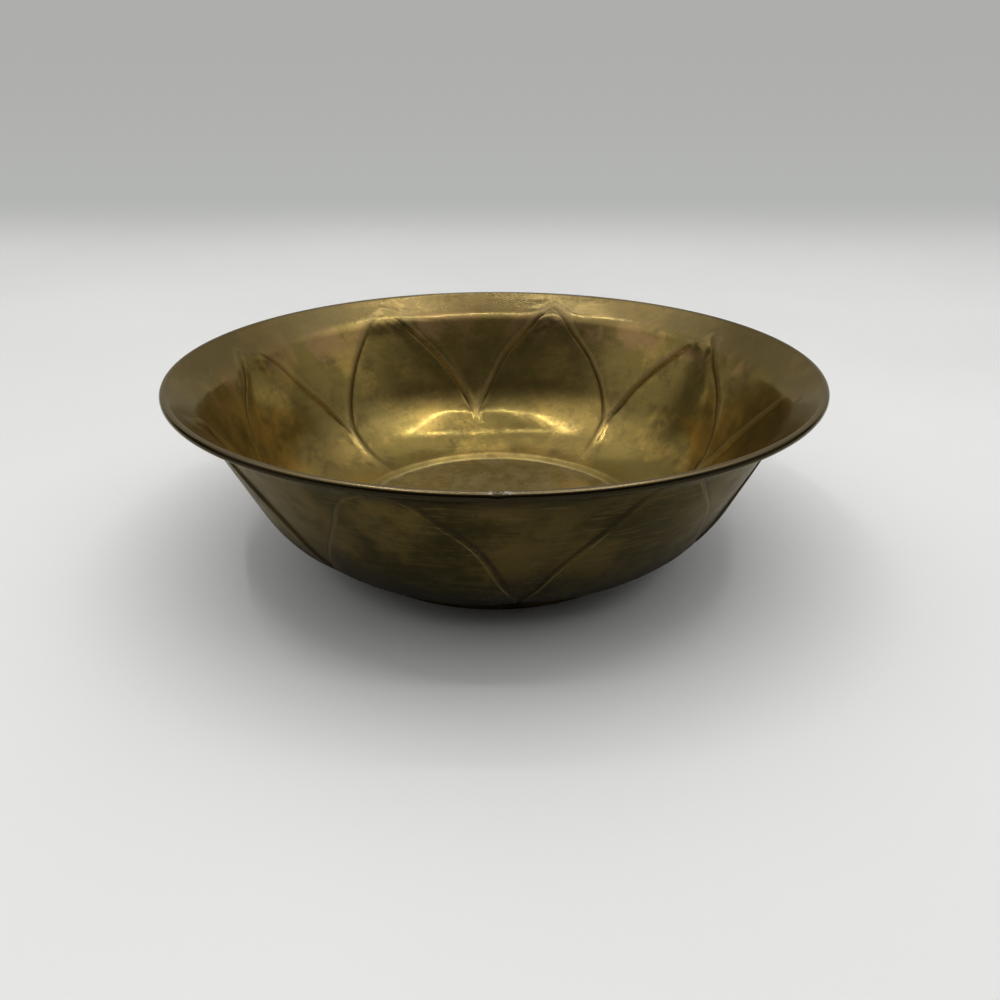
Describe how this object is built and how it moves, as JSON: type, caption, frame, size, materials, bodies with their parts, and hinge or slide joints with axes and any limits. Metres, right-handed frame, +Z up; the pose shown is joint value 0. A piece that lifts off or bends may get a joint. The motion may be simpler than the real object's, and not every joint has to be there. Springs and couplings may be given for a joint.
{
  "type": "offering bowl",
  "caption": "Round spun brass offering bowl with embossed lotus petals round the wall, a wired rim and a low foot ring.",
  "frame": {"origin": "on the bowl's axis, on the plane that the foot ring stands on", "axes": "+Z up along the bowl's axis; -Y is the side that faces the viewer of the picture"},
  "size_m": [0.25, 0.25, 0.075],
  "materials": {
    "patinated_brass": "old spun and embossed sheet brass, mottled olive-brown patina with pale specks, rubbed bright on ridges and rim",
    "wire_brass": "drawn wire, dull",
    "foot_brass": "turned strip brass, dark brown patina, rubbed on the standing edge",
    "hard_solder": "greyish hard solder, slightly lumpy"
  },
  "bodies": {
    "root": {"bowl_shell": "patinated_brass", "rim_wire": "wire_brass", "foot_ring": "foot_brass", "foot_solder": "hard_solder"}
  },
  "joints": []
}
